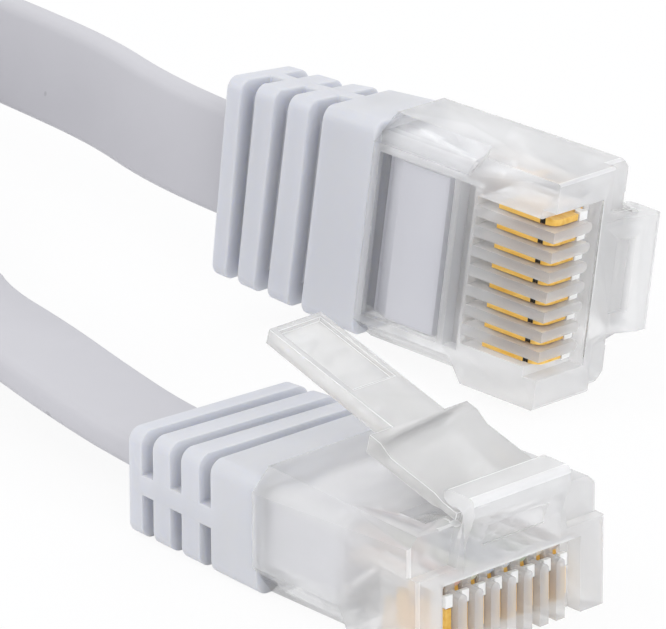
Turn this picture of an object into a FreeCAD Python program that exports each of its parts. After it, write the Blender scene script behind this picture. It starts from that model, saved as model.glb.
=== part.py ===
import FreeCAD, Part
import math
import os
from FreeCAD import Placement, Rotation, Vector

# Flat patch lead with a clear eight way plug on each end. Millimetres, +Z up.
# Plug A lies flat on the floor with its latch up. Its nose is at the origin and points along +X.
# In a plug's own frame X is the way it goes in, Z is the latch side and Z = 0 is the contact face.

# Clear housing
PLUG_WIDTH = 11.68
NOSE_HEIGHT = 4.45
BODY_HEIGHT = 6.35
SHOULDER_SETBACK = 0.6
BODY_LENGTH = 11.3
EDGE_RADIUS = 0.15
BEVEL_WIDTH = 1.2
BEVEL_HEIGHT = 1.6
BEVEL_FRONT = -5.4
BEVEL_RUN_OUT = 0.9
CHAMFER_FRONT = 0.45
CHAMFER_REAR = 1.1
TAIL_LENGTH = 2.9
TAIL_INSET = 0.75

# Cavity for the inner mould, and its funnel towards the wires
CAVITY_HALF_WIDTH = 4.75
CAVITY_BOTTOM = 1.05
CAVITY_ROOF = 1.25
CAVITY_TOP = BODY_HEIGHT - CAVITY_ROOF
CAVITY_FRONT = -6.1
FUNNEL_LENGTH = 1.4
FUNNEL_HALF_WIDTH = 4.2

# Contacts, their slots and the comb of fins between them
CONTACT_COUNT = 8
PITCH = 1.02
SLOT_WIDTH = 0.47
SLOT_REAR = -4.75
SLOT_TOP = 3.05
COMB_HALF_WIDTH = 4.3
COMB_DEPTH = 0.85
COMB_TOP = 3.8
BLADE_THICKNESS = 0.32
BLADE_REAR = -3.76
BLADE_FRONT = -0.4
BLADE_CROWN = 0.45
BLADE_TOP = 2.35
BLADE_NOSE_RADIUS = 0.6
TOOTH_WIDTH = 0.34
TOOTH_PLACES = (-1.25, -2.75)

# Insulated conductors
WIRE_RADIUS = 0.38
WIRE_HEIGHT = 3.4
WIRE_CLEARANCE = 0.03
WIRE_SIDES = 8
WIRE_FRONT = -0.95

# Strain relief window and wedge on the contact face
WINDOW_INSET = 0.4
WINDOW_REAR = -BODY_LENGTH + WINDOW_INSET
WINDOW_FRONT = -6.2
WINDOW_HALF_WIDTH = 4.25
WEDGE_REAR = WINDOW_REAR + 0.4
WEDGE_FRONT = -7.3
WEDGE_FACE = 0.2
WEDGE_SIDE_CLEARANCE = 0.08
GROOVE_REAR = -5.85
GROOVE_FRONT = -4.95
GROOVE_DEPTH = 0.8

# Latch and its root block
LATCH_HALF_WIDTH = 3.02
ROOT_HALF_WIDTH = 3.0
ROOT_REAR = -1.35
ROOT_FRONT = 0.7
ROOT_TOP = 7.9
ROOT_CORNER = 0.35
HINGE_X = -0.5
HINGE_Z = 6.72
HINGE_RADIUS = 0.4
HINGE_CLEARANCE = 0.05
LATCH_ANGLE = 15.0
LATCH_TRAVEL = 12.0
NECK_HALF_THICKNESS = 0.2
NECK_LENGTH = 1.0
NECK_CLEARANCE = 0.12
PLATE_THICKNESS = 0.66
SHOULDER_AT = 6.2
SHOULDER_LENGTH = 0.75
SHOULDER_RISE = 0.32
TAB_HALF_WIDTH = 1.625
TAB_END = 15.0
TAB_TIP_THICKNESS = 0.8
TAB_RIM = 0.34
TAB_RECESS_DEPTH = 0.24
TAB_RECESS_LENGTH = 5.4

# Moulded boot
BOOT_REAR = -20.7
BOOT_FRONT_HALF_WIDTH = 5.6
BOOT_REAR_HALF_WIDTH = 5.2
BOOT_FRONT_TOP = BODY_HEIGHT - 0.45
BOOT_REAR_TOP = BODY_HEIGHT - 0.9
BOOT_REAR_BOTTOM = 0.05
BOOT_CORNER = 0.7
BOOT_CORE_INSET = 1.0
RIB_REAR_EDGES = (-14.62, -16.8, -18.91)
RIB_GAP = 0.86
WEB_TOP = 3.35
WEB_BOTTOM = 2.35

# Flat cable and its coil
CABLE_WIDTH = 5.6
CABLE_THICKNESS = 1.5
CABLE_EXIT_HEIGHT = 2.3
CABLE_HOLD = 1.4
CABLE_TILT = 3.5
CABLE_TILT_OVER = 0.15
TIE_THICKNESS = 0.3
COIL_CENTRE = (-75.5, -15.0)
COIL_OUTER_RADIUS = 34.0
COIL_PITCH = 2.1
COIL_LAYER_COUNT = 6
LEAD_A_JOINS = 60.0
LEAD_B_JOINS = 150.0
TIE_ANGLE = -45.0
TIE_WIDTH = 6.0
TIE_CLEARANCE = 0.3

# Plug B stands on its narrow side, leaning back a little
PLUG_B_ORIGIN = (-17.64, 18.71, 6.385)
PLUG_B_YAW = 9.06
PLUG_B_PITCH = 3.84
PLUG_B_ROLL = -95.6

HALF_WIDTH = PLUG_WIDTH / 2
COIL_HEIGHT = TIE_THICKNESS + CABLE_WIDTH / 2


def block(x0, x1, half_width, z0, z1):
    return Part.makeBox(x1 - x0, 2 * half_width, z1 - z0, Vector(x0, -half_width, z0))


def side_prism(points, half_width):
    """A closed outline in the XZ plane, drawn out both ways along Y."""
    corners = [Vector(x, -half_width, z) for x, z in points]
    wire = Part.makePolygon(corners + corners[:1])
    return Part.Face(wire).extrude(Vector(0, 2 * half_width, 0))


def bar(x, z, radius, half_width):
    return Part.makeCylinder(radius, 2 * half_width, Vector(x, -half_width, z), Vector(0, 1, 0))


def rounded_section(x, half_width, z0, z1, radius):
    """A rounded rectangle across the plug at one X."""
    y = half_width - radius
    half = math.sqrt(0.5)
    edges = []
    for sign_y, sign_z, z in ((1, 1, z1 - radius), (-1, 1, z1 - radius), (-1, -1, z0 + radius), (1, -1, z0 + radius)):
        centre = Vector(x, sign_y * y, z)
        ends = [Vector(0, sign_y * radius, 0), Vector(0, 0, sign_z * radius)]
        if sign_y * sign_z < 0:
            ends.reverse()
        middle = Vector(0, sign_y * radius * half, sign_z * radius * half)
        if edges:
            edges.append(Part.makeLine(edges[-1].Vertexes[-1].Point, centre + ends[0]))
        edges.append(Part.Arc(centre + ends[0], centre + middle, centre + ends[1]).toShape())
    edges.append(Part.makeLine(edges[-1].Vertexes[-1].Point, edges[0].Vertexes[0].Point))
    return Part.Wire(edges)


def contact_places():
    first = -PITCH * (CONTACT_COUNT - 1) / 2
    return [first + PITCH * k for k in range(CONTACT_COUNT)]


# Housing

def body_shell():
    outline = [(0, 0), (0, NOSE_HEIGHT), (-SHOULDER_SETBACK, NOSE_HEIGHT), (-SHOULDER_SETBACK, BODY_HEIGHT)]
    outline += [(-BODY_LENGTH, BODY_HEIGHT), (-BODY_LENGTH, 0)]
    body = side_prism(outline, HALF_WIDTH)
    upright = [e for e in body.Edges if abs(e.tangentAt(e.FirstParameter).z) > 0.9]
    front = [e for e in upright if e.CenterOfMass.x > -SHOULDER_SETBACK - 0.01]
    body = body.makeFillet(EDGE_RADIUS, front)
    return body.cut([lower_bevel(1), lower_bevel(-1), upper_chamfer(1), upper_chamfer(-1)])


def upper_chamfer(side):
    """The chamfer along the upper edge of a side, widening towards the boot."""
    over = 0.5
    ends = []
    for x, width in ((-BODY_LENGTH - 1, CHAMFER_REAR), (1.0, CHAMFER_FRONT)):
        points = [(HALF_WIDTH + over, BODY_HEIGHT - width - over), (HALF_WIDTH + over, BODY_HEIGHT + over)]
        points.append((HALF_WIDTH - width - over, BODY_HEIGHT + over))
        corners = [Vector(x, side * y, z) for y, z in points]
        ends.append(Part.makePolygon(corners + corners[:1]))
    return Part.makeLoft(ends, True, True)


def lower_bevel(side):
    """The bevel along the lower edge of the rear part, with its slanted run out."""
    over = 0.5
    slope = BEVEL_HEIGHT / BEVEL_WIDTH
    ends = []
    for x, share in ((-BODY_LENGTH - 1, 1.0), (BEVEL_FRONT, 1.0), (BEVEL_FRONT + BEVEL_RUN_OUT, 0.02)):
        width = BEVEL_WIDTH * share
        points = [(HALF_WIDTH + over, width * slope + over * slope), (HALF_WIDTH - width - over / slope, -over)]
        points.append((HALF_WIDTH + over, -over))
        corners = [Vector(x, side * y, z) for y, z in points]
        ends.append(Part.makePolygon(corners + corners[:1]))
    return Part.makeLoft(ends[:2], True, True).fuse(Part.makeLoft(ends[1:], True, True))


def tail():
    z0, z1 = TAIL_INSET, BODY_HEIGHT - 1.4 * TAIL_INSET
    return block(-BODY_LENGTH - TAIL_LENGTH, -BODY_LENGTH, CAVITY_HALF_WIDTH + 0.3, z0 - 0.1, z1)


def root_block():
    outline = [(0, NOSE_HEIGHT - 0.6), (0.1, 5.5), (ROOT_FRONT, 7.0), (ROOT_FRONT, ROOT_TOP), (ROOT_REAR, ROOT_TOP)]
    outline += [(ROOT_REAR, BODY_HEIGHT - 0.3), (-SHOULDER_SETBACK - 0.4, NOSE_HEIGHT - 0.6)]
    root = side_prism(outline, ROOT_HALF_WIDTH)
    top = [e for e in root.Edges if e.CenterOfMass.z > ROOT_TOP - 0.01 and abs(e.tangentAt(e.FirstParameter).y) > 0.9]
    root = root.makeFillet(ROOT_CORNER, top)
    sides = []
    for side in (1, -1):
        corners = [(ROOT_HALF_WIDTH + 0.45, NOSE_HEIGHT), (ROOT_HALF_WIDTH, BODY_HEIGHT + 0.5)]
        corners += [(ROOT_HALF_WIDTH - 0.3, BODY_HEIGHT + 0.5), (ROOT_HALF_WIDTH - 0.3, NOSE_HEIGHT)]
        points = [Vector(-SHOULDER_SETBACK - 0.3, side * y, z) for y, z in corners]
        sides.append(Part.Face(Part.makePolygon(points + points[:1])).extrude(Vector(SHOULDER_SETBACK + 0.3, 0, 0)))
    return root.fuse(sides)


def along(angle, distance, offset=0.0):
    """A point from the hinge, backwards at an angle above level, and offset square to that."""
    a = math.radians(angle)
    x = HINGE_X - math.cos(a) * distance + math.sin(a) * offset
    return x, HINGE_Z + math.sin(a) * distance + math.cos(a) * offset


def hinge_socket():
    """The round seat of the latch's root and the way out for its neck over the whole travel."""
    seat = bar(HINGE_X, HINGE_Z, HINGE_RADIUS + HINGE_CLEARANCE, ROOT_HALF_WIDTH + 1)
    gap = NECK_HALF_THICKNESS + NECK_CLEARANCE
    pressed = LATCH_ANGLE - LATCH_TRAVEL
    reach = 3.0
    mouth = [along(LATCH_ANGLE, 0, gap), along(LATCH_ANGLE, NECK_LENGTH * 0.7, gap), along(LATCH_ANGLE + 16, reach, gap)]
    mouth += [along(pressed - 16, reach, -gap), along(pressed, NECK_LENGTH * 0.7, -gap), along(pressed, 0, -gap)]
    return seat.fuse(side_prism(mouth, ROOT_HALF_WIDTH + 1))


def cavity():
    main = Part.makeLoft([
        rounded_section(-BODY_LENGTH - TAIL_LENGTH - 1, CAVITY_HALF_WIDTH, CAVITY_BOTTOM, CAVITY_TOP, 0.6),
        rounded_section(CAVITY_FRONT, CAVITY_HALF_WIDTH, CAVITY_BOTTOM, CAVITY_TOP, 0.6)], True, True)
    z0, z1 = WIRE_HEIGHT - WIRE_RADIUS, WIRE_HEIGHT + WIRE_RADIUS
    funnel = Part.makeLoft([
        rounded_section(CAVITY_FRONT, CAVITY_HALF_WIDTH - 0.4, CAVITY_BOTTOM + 0.7, CAVITY_TOP - 0.3, 0.3),
        rounded_section(CAVITY_FRONT + FUNNEL_LENGTH, FUNNEL_HALF_WIDTH, z0, z1, 0.3)], True, True)
    return main.fuse(funnel)


def wire_channels():
    start = CAVITY_FRONT + FUNNEL_LENGTH - 0.2
    length = WIRE_FRONT - start
    radius = WIRE_RADIUS + WIRE_CLEARANCE
    return [Part.makeCylinder(radius, length, Vector(start, y, WIRE_HEIGHT), Vector(1, 0, 0)) for y in contact_places()]


def contact_slots():
    """The slots from the contact face up to the wires, open at the nose."""
    slots = [Part.makeBox(-SLOT_REAR + 1, SLOT_WIDTH, WIRE_HEIGHT + 1, Vector(SLOT_REAR, y - SLOT_WIDTH / 2, -1))
             for y in contact_places()]
    return slots


def comb_recess():
    """The trough across the nose that leaves the fins standing with round tops."""
    trough = block(-COMB_DEPTH, 1, COMB_HALF_WIDTH, -1, COMB_TOP)
    half = (PITCH - SLOT_WIDTH) / 2
    fins = []
    for y in contact_places()[:-1]:
        middle = y + PITCH / 2
        fins.append(Part.makeBox(COMB_DEPTH, 2 * half, SLOT_TOP - half, Vector(-COMB_DEPTH, middle - half, 0)))
        fins.append(Part.makeCylinder(half, COMB_DEPTH, Vector(-COMB_DEPTH, middle, SLOT_TOP - half), Vector(1, 0, 0)))
    return trough, fins


def housing():
    trough, fins = comb_recess()
    body = body_shell().fuse([tail(), root_block()]).removeSplitter()
    body = body.cut([cavity(), trough, hinge_socket()])
    body = body.fuse(fins)
    window = block(WINDOW_REAR, WINDOW_FRONT, WINDOW_HALF_WIDTH, -1, CAVITY_BOTTOM + 0.1)
    groove = block(GROOVE_REAR, GROOVE_FRONT, WINDOW_HALF_WIDTH, -1, GROOVE_DEPTH)
    pocket = block(0.0, 1.0, 1.9, 5.2, 6.3)
    body = body.cut(wire_channels() + contact_slots() + [window, groove, pocket])
    return body.removeSplitter()


# Latch

def latch():
    half = PLATE_THICKNESS / 2
    plate = [along(LATCH_ANGLE, 0, -NECK_HALF_THICKNESS), along(LATCH_ANGLE, NECK_LENGTH, -NECK_HALF_THICKNESS)]
    plate += [along(LATCH_ANGLE, NECK_LENGTH + 0.6, -half), along(LATCH_ANGLE, SHOULDER_AT, -half)]
    plate += [along(LATCH_ANGLE, SHOULDER_AT, half + SHOULDER_RISE)]
    plate += [along(LATCH_ANGLE, SHOULDER_AT - SHOULDER_LENGTH, half + SHOULDER_RISE)]
    plate += [along(LATCH_ANGLE, SHOULDER_AT - SHOULDER_LENGTH - 0.8, half), along(LATCH_ANGLE, NECK_LENGTH + 0.6, half)]
    plate += [along(LATCH_ANGLE, NECK_LENGTH, NECK_HALF_THICKNESS), along(LATCH_ANGLE, 0, NECK_HALF_THICKNESS)]
    arm = side_prism(plate, LATCH_HALF_WIDTH)
    arm = arm.fuse(bar(HINGE_X, HINGE_Z, HINGE_RADIUS, ROOT_HALF_WIDTH - 0.3))
    start, tip_top = SHOULDER_AT - 0.3, half + SHOULDER_RISE
    tab = [along(LATCH_ANGLE, start, -half), along(LATCH_ANGLE, start, tip_top), along(LATCH_ANGLE, TAB_END, tip_top)]
    tab += [along(LATCH_ANGLE, TAB_END, tip_top - TAB_TIP_THICKNESS)]
    tab = side_prism(tab, TAB_HALF_WIDTH)
    recess = side_prism([
        along(LATCH_ANGLE, TAB_END - TAB_RIM, tip_top + 1), along(LATCH_ANGLE, TAB_END - TAB_RIM, tip_top - TAB_RECESS_DEPTH),
        along(LATCH_ANGLE, TAB_END - TAB_RECESS_LENGTH, tip_top - TAB_RECESS_DEPTH),
        along(LATCH_ANGLE, TAB_END - TAB_RECESS_LENGTH - 0.8, tip_top + 0.4)], TAB_HALF_WIDTH - TAB_RIM)
    return arm.fuse(tab).removeSplitter().cut(recess)


# Contacts, wires and strain relief

def blade(y):
    nose = BLADE_NOSE_RADIUS
    half = BLADE_THICKNESS / 2
    centre = Vector(BLADE_FRONT - nose, y - half, BLADE_CROWN + nose)
    bend = centre + Vector(nose * math.sqrt(0.5), 0, -nose * math.sqrt(0.5))
    crown = Vector(BLADE_FRONT - nose, y - half, BLADE_CROWN)
    front = Vector(BLADE_FRONT, y - half, BLADE_CROWN + nose)
    rest = [(BLADE_FRONT, BLADE_TOP)]
    for place in TOOTH_PLACES:
        rest += [(place + TOOTH_WIDTH, BLADE_TOP), (place + TOOTH_WIDTH / 4, WIRE_HEIGHT)]
        rest += [(place - TOOTH_WIDTH / 4, WIRE_HEIGHT), (place - TOOTH_WIDTH, BLADE_TOP)]
    rest += [(BLADE_REAR, BLADE_TOP), (BLADE_REAR, BLADE_CROWN)]
    corners = [Vector(x, y - half, z) for x, z in rest]
    outline = Part.makePolygon([front] + corners + [crown])
    wire = Part.Wire(outline.Edges + [Part.Arc(crown, bend, front).toShape()])
    return Part.Face(wire).extrude(Vector(0, BLADE_THICKNESS, 0))


def conductor(y):
    """A plain conductor. Its blade's teeth are pressed into it."""
    length = WIRE_FRONT - CAVITY_FRONT
    corners = []
    for k in range(WIRE_SIDES):
        a = 2 * math.pi * (k + 0.5) / WIRE_SIDES
        corners.append(Vector(CAVITY_FRONT, y + WIRE_RADIUS * math.cos(a), WIRE_HEIGHT + WIRE_RADIUS * math.sin(a)))
    return Part.Face(Part.makePolygon(corners + corners[:1])).extrude(Vector(length, 0, 0))


def wedge():
    half = WINDOW_HALF_WIDTH - WEDGE_SIDE_CLEARANCE
    outline = [(WEDGE_REAR, WEDGE_FACE), (WEDGE_REAR - 0.2, CAVITY_BOTTOM), (WEDGE_FRONT + 0.35, CAVITY_BOTTOM)]
    outline += [(WEDGE_FRONT, WEDGE_FACE + 0.35), (WEDGE_FRONT, WEDGE_FACE)]
    return side_prism(outline, half)


def inner_mould():
    core = Part.makeLoft([
        rounded_section(-BODY_LENGTH - TAIL_LENGTH, CAVITY_HALF_WIDTH, CAVITY_BOTTOM, CAVITY_TOP, 0.6),
        rounded_section(CAVITY_FRONT, CAVITY_HALF_WIDTH, CAVITY_BOTTOM, CAVITY_TOP, 0.6)], True, True)
    return core


# Boot

def boot():
    front = rounded_section(-BODY_LENGTH, BOOT_FRONT_HALF_WIDTH, 0, BOOT_FRONT_TOP, BOOT_CORNER)
    rear = rounded_section(BOOT_REAR, BOOT_REAR_HALF_WIDTH, BOOT_REAR_BOTTOM, BOOT_REAR_TOP, BOOT_CORNER)
    shell = Part.makeLoft([rear, front], True, True)
    core_half = BOOT_REAR_HALF_WIDTH - BOOT_CORE_INSET
    core_top = BOOT_REAR_TOP - BOOT_CORE_INSET
    core_bottom = BOOT_REAR_BOTTOM + BOOT_CORE_INSET
    wide = BOOT_FRONT_HALF_WIDTH + 1
    cuts = []
    for edge in RIB_REAR_EDGES:
        core = block(edge - RIB_GAP - 1, edge + 1, core_half, core_bottom, core_top)
        cuts.append(block(edge - RIB_GAP, edge, wide, WEB_TOP, BOOT_FRONT_TOP + 1).cut(core))
        cuts.append(block(edge - RIB_GAP, edge, wide, -1, WEB_BOTTOM).cut(core))
    shell = shell.cut(cuts)
    hollow = block(-BODY_LENGTH - TAIL_LENGTH, -BODY_LENGTH + 0.1, CAVITY_HALF_WIDTH + 0.3,
                   TAIL_INSET - 0.1, BODY_HEIGHT - 1.4 * TAIL_INSET)
    return shell.cut([hollow, cable_bar(BOOT_REAR - 1, -BODY_LENGTH - TAIL_LENGTH)])


def cable_bar(x0, x1):
    """A straight piece of the cable along the plug."""
    section = cable_section(Vector(x0, 0, CABLE_EXIT_HEIGHT), Vector(0, 1, 0), Vector(0, 0, 1))
    return Part.Face(section).extrude(Vector(x1 - x0, 0, 0))


def jacket_end():
    """The end of the cable's jacket, moulded into the boot."""
    return cable_bar(BOOT_REAR + CABLE_HOLD, -BODY_LENGTH - TAIL_LENGTH)


# Cable

def plug_b_placement():
    turn = Rotation(Vector(0, 0, 1), PLUG_B_YAW)
    turn = turn.multiply(Rotation(Vector(0, 1, 0), PLUG_B_PITCH))
    turn = turn.multiply(Rotation(Vector(1, 0, 0), PLUG_B_ROLL))
    return Placement(Vector(*PLUG_B_ORIGIN), turn)


def coil_point(radius, angle, height=COIL_HEIGHT):
    """A point on the upper half of the coil, whose turns share one centre there."""
    a = math.radians(angle)
    x = COIL_CENTRE[0] + COIL_PITCH / 2 + radius * math.cos(a)
    return Vector(x, COIL_CENTRE[1] + radius * math.sin(a), height)


def lead_a_route():
    """Control points from plug A's boot to the coil, rising a little and then coming down."""
    end = coil_point(COIL_OUTER_RADIUS - COIL_PITCH, LEAD_A_JOINS)
    start = Vector(BOOT_REAR + CABLE_HOLD, 0, CABLE_EXIT_HEIGHT)
    points = [start, Vector(-24.5, 0, 2.35), Vector(-30, 0, 3.15), Vector(-36, 1.1, 3.4), Vector(-42, 1.9, 3.5)]
    return points + [Vector(-48.6, 6.9, 3.3), end]


def lead_b_route():
    """Control points from plug B's boot to the outermost turn, which it joins coming down."""
    place = plug_b_placement()
    start = place.multVec(Vector(BOOT_REAR + CABLE_HOLD, 0, CABLE_EXIT_HEIGHT))
    mouth = place.multVec(Vector(BOOT_REAR - 1.0, 0, CABLE_EXIT_HEIGHT))
    ahead = place.multVec(Vector(BOOT_REAR - 6.0, -0.35, CABLE_EXIT_HEIGHT))
    points = [start, mouth, ahead, Vector(-49.5, 17.9, 8.4), Vector(-57, 18.6, 8.2), Vector(-65, 19.8, 7.6)]
    corner = COIL_OUTER_RADIUS / math.cos(math.radians(17.5))
    points += [coil_point(corner, LEAD_B_JOINS - 52.5, 5.2), coil_point(corner, LEAD_B_JOINS - 17.5, 3.5)]
    return points + [coil_point(COIL_OUTER_RADIUS, LEAD_B_JOINS)]


def route_curve(points):
    """A smooth curve of degree 2 with the route's points as its control points."""
    inner = len(points) - 3
    knots = [float(k) for k in range(inner + 2)]
    curve = Part.BSplineCurve()
    curve.buildFromPolesMultsKnots(points, [3] + [1] * inner + [3], knots, False, 2)
    return curve


def smooth(t):
    t = min(max(t, 0.0), 1.0)
    return t * t * (3 - 2 * t)


def ribbon(points, flat_until, edge_from, side, sections):
    """The flat cable along a route. It tilts a little behind the boot, and stands up between two shares of its length."""
    curve = route_curve(points)
    wires = []
    for k in range(sections + 1):
        u = curve.parameterAtDistance(curve.length() * k / sections, curve.FirstParameter)
        t = curve.tangent(u)[0]
        across = side(t)
        lift = t.cross(across)
        tilt = math.radians(CABLE_TILT) * smooth(k / sections / CABLE_TILT_OVER)
        turn = tilt + (math.pi / 2 - tilt) * smooth((k / sections - flat_until) / (edge_from - flat_until))
        width = across * math.cos(turn) + lift * math.sin(turn)
        thick = t.cross(width)
        wires.append(cable_section(curve.value(u), width, thick))
    return Part.makeLoft(wires, True, True), curve.length()


def cable_section(centre, width, thick):
    w, h = CABLE_WIDTH / 2, CABLE_THICKNESS / 2
    corners = [(w, h), (-w, h), (-w, -h), (w, -h)]
    points = [centre + width * a + thick * b for a, b in corners]
    return Part.makePolygon(points + points[:1])


def level_side(t):
    side = Vector(0, 0, 1).cross(t)
    return side.normalize()


def cable_lead_a():
    return ribbon(lead_a_route(), 0.48, 0.99, level_side, 26)


def cable_lead_b():
    """Plug B's lead is on edge from the start. It takes the plug's lean out along its way."""
    place = plug_b_placement()
    lean = place.Rotation.multVec(Vector(0, 1, 0))
    points = lead_b_route()
    curve = route_curve(points)
    wires = []
    sections = 26
    for k in range(sections + 1):
        u = curve.parameterAtDistance(curve.length() * k / sections, curve.FirstParameter)
        t = curve.tangent(u)[0]
        share = smooth(k / sections / 0.6)
        width = lean * (1 - share) - Vector(0, 0, 1) * share
        width = (width - t * width.dot(t)).normalize()
        wires.append(cable_section(curve.value(u), width, t.cross(width)))
    return Part.makeLoft(wires, True, True), curve.length()


def coil_arcs():
    """The coil's centreline as half turns: two arms, wound together, that meet in an S in the middle."""
    half_turns = []
    centre = Vector(COIL_CENTRE[0], COIL_CENTRE[1], 0)
    shift = COIL_PITCH / 2
    for layer in range(COIL_LAYER_COUNT):
        radius = COIL_OUTER_RADIUS - COIL_PITCH * layer
        arm_b_upper = layer % 2 == 0
        if arm_b_upper or layer > 0:
            start = (LEAD_B_JOINS, LEAD_A_JOINS)[layer] if layer < 2 else 0.0
            half_turns.append((centre + Vector(shift, 0, 0), radius, start, 180.0))
        if layer > 0:
            half_turns.append((centre - Vector(shift, 0, 0), radius, 180.0, 360.0))
    inner = (COIL_OUTER_RADIUS - COIL_PITCH * (COIL_LAYER_COUNT - 1) - shift) / 2
    half_turns.append((centre + Vector(inner, 0, 0), inner, 0.0, 180.0))
    half_turns.append((centre - Vector(inner, 0, 0), inner, 180.0, 360.0))
    return half_turns


def band(centre, radius, start, end):
    """One stretch of the cable on edge, round an upright axis."""
    r0, r1 = radius - CABLE_THICKNESS / 2, radius + CABLE_THICKNESS / 2
    z0, z1 = TIE_THICKNESS, TIE_THICKNESS + CABLE_WIDTH
    corners = [(r0, z0), (r1, z0), (r1, z1), (r0, z1)]
    a = math.radians(start)
    out = Vector(math.cos(a), math.sin(a), 0)
    points = [centre + out * r + Vector(0, 0, z) for r, z in corners]
    face = Part.Face(Part.makePolygon(points + points[:1]))
    return face.revolve(centre, Vector(0, 0, 1), end - start)


def cable_coil():
    arcs = coil_arcs()
    bands = [band(*arc) for arc in arcs]
    length = sum(radius * math.radians(end - start) for _, radius, start, end in arcs)
    return bands[0].fuse(bands[1:]), length


def coil_path():
    """The half turns in the order the cable runs, from lead B's end to lead A's."""
    arcs = coil_arcs()
    start = Vector(0, 0, 0)
    ordered = []
    while arcs:
        best = None
        for arc in arcs:
            ends = [arc_point(arc, arc[2]), arc_point(arc, arc[3])]
            for turn in (0, 1):
                distance = ends[turn].distanceToPoint(start) if ordered else abs(arc[1] - COIL_OUTER_RADIUS) + turn
                if best is None or distance < best[0]:
                    best = (distance, arc, turn, ends[1 - turn])
        ordered.append((best[1], best[2]))
        arcs.remove(best[1])
        start = best[3]
    return ordered


def arc_point(arc, angle):
    a = math.radians(angle)
    return arc[0] + Vector(math.cos(a), math.sin(a), 0) * arc[1]


def least_gap_in_coil():
    """The least clear gap between two turns, measured on points along the centreline."""
    points = []
    run = 0.0
    for arc, reverse in coil_path():
        first, last = (arc[3], arc[2]) if reverse else (arc[2], arc[3])
        steps = max(int(abs(last - first) / 5), 2)
        step = arc[1] * math.radians(abs(last - first)) / steps
        for k in range(steps):
            points.append((run, arc_point(arc, first + (last - first) * k / steps)))
            run += step
    least = 1e9
    for k, (run_p, p) in enumerate(points):
        for run_q, q in points[k + 1:]:
            if run_q - run_p > 25:
                least = min(least, p.distanceToPoint(q))
    return least - CABLE_THICKNESS


def coil_tie():
    """A thin strap round the bundle of turns, with its end lapped over the top."""
    low = COIL_OUTER_RADIUS - COIL_PITCH * (COIL_LAYER_COUNT - 1) - CABLE_THICKNESS / 2 - TIE_CLEARANCE
    high = COIL_OUTER_RADIUS - COIL_PITCH + CABLE_THICKNESS / 2 + TIE_CLEARANCE
    t = TIE_THICKNESS
    top = TIE_THICKNESS + CABLE_WIDTH
    outer = Part.makeBox(high - low + 2 * t, TIE_WIDTH, top + t, Vector(low - t, -TIE_WIDTH / 2, 0))
    inner = Part.makeBox(high - low, TIE_WIDTH + 2, top - t, Vector(low, -TIE_WIDTH / 2 - 1, t))
    lap = Part.makeBox((high - low) * 0.6, TIE_WIDTH, t, Vector(low - t, -TIE_WIDTH / 2, top + t))
    strap = outer.cut(inner).fuse(lap).removeSplitter()
    middle = Vector(COIL_CENTRE[0] - COIL_PITCH / 2, COIL_CENTRE[1], 0)
    return strap.transformGeometry(Placement(middle, Rotation(Vector(0, 0, 1), TIE_ANGLE)).toMatrix())


def plug_pieces():
    pieces = {"housing": housing(), "latch": latch(), "strain_wedge": wedge(), "inner_mould": inner_mould()}
    pieces.update({"boot": boot(), "jacket_end": jacket_end()})
    for number, y in enumerate(contact_places(), 1):
        pieces["contact_%d" % number] = blade(y)
        pieces["wire_%d" % number] = conductor(y)
    return pieces


def main():
    os.makedirs("parts", exist_ok=True)
    pieces = {}
    places = {"a": Placement(), "b": plug_b_placement()}
    for name, shape in plug_pieces().items():
        for letter, place in places.items():
            copy = shape.copy()
            copy.Placement = place
            pieces["plug_%s_%s" % (letter, name)] = copy
    pieces["cable_lead_a"], length_a = cable_lead_a()
    pieces["cable_lead_b"], length_b = cable_lead_b()
    pieces["cable_coil"], length_coil = cable_coil()
    pieces["coil_tie"] = coil_tie()
    for name, shape in pieces.items():
        if shape.ShapeType == "Compound" and len(shape.Solids) == 1:
            shape = shape.Solids[0]
        print(name, "solids", len(shape.Solids), "valid", shape.isValid(), "volume %.2f" % shape.Volume)
        shape.exportStep("parts/%s.step" % name)
    section = Part.Face(cable_section(Vector(), Vector(1, 0, 0), Vector(0, 1, 0))).Area
    for name, length in (("cable_lead_a", length_a), ("cable_lead_b", length_b), ("cable_coil", length_coil)):
        print(name, "length %.1f" % length, "volume over section times length %.3f" % (pieces[name].Volume / section / length))
    print("cable length %.1f" % (length_a + length_b + length_coil - 2 * CABLE_HOLD))
    print("least gap in the coil %.2f" % least_gap_in_coil())


main()
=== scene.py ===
"""A flat white network patch lead with a clear modular plug on each end, dressed for a studio picture."""

import logging
import math
from collections.abc import Callable, Sequence
from dataclasses import dataclass
from enum import Enum, IntEnum

import bmesh
import bpy
from mathutils import Matrix, Vector


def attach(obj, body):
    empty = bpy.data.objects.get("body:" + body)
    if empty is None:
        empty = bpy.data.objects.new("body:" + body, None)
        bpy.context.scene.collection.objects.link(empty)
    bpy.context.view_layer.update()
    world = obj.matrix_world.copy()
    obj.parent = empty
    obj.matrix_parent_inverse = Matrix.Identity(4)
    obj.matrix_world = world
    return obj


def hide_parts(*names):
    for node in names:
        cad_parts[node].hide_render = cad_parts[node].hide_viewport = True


log = logging.getLogger("patch_lead")
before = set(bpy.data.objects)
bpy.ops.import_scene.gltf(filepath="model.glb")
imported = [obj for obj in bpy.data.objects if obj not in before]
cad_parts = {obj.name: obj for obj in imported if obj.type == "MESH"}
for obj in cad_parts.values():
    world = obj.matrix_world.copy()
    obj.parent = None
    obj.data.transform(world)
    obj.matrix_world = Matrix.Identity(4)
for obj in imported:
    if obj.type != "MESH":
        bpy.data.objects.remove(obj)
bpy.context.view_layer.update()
Colour = tuple[float, float, float]
Point = tuple[float, float, float]
Outline = tuple[tuple[float, float], ...]

# Metres in a millimetre, a plug's ways and their spacing, and a distance past every point of a plug
MM = 0.001
WAYS = 8
PITCH_MM = 1.02
FAR_MM = 99.0


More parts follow.
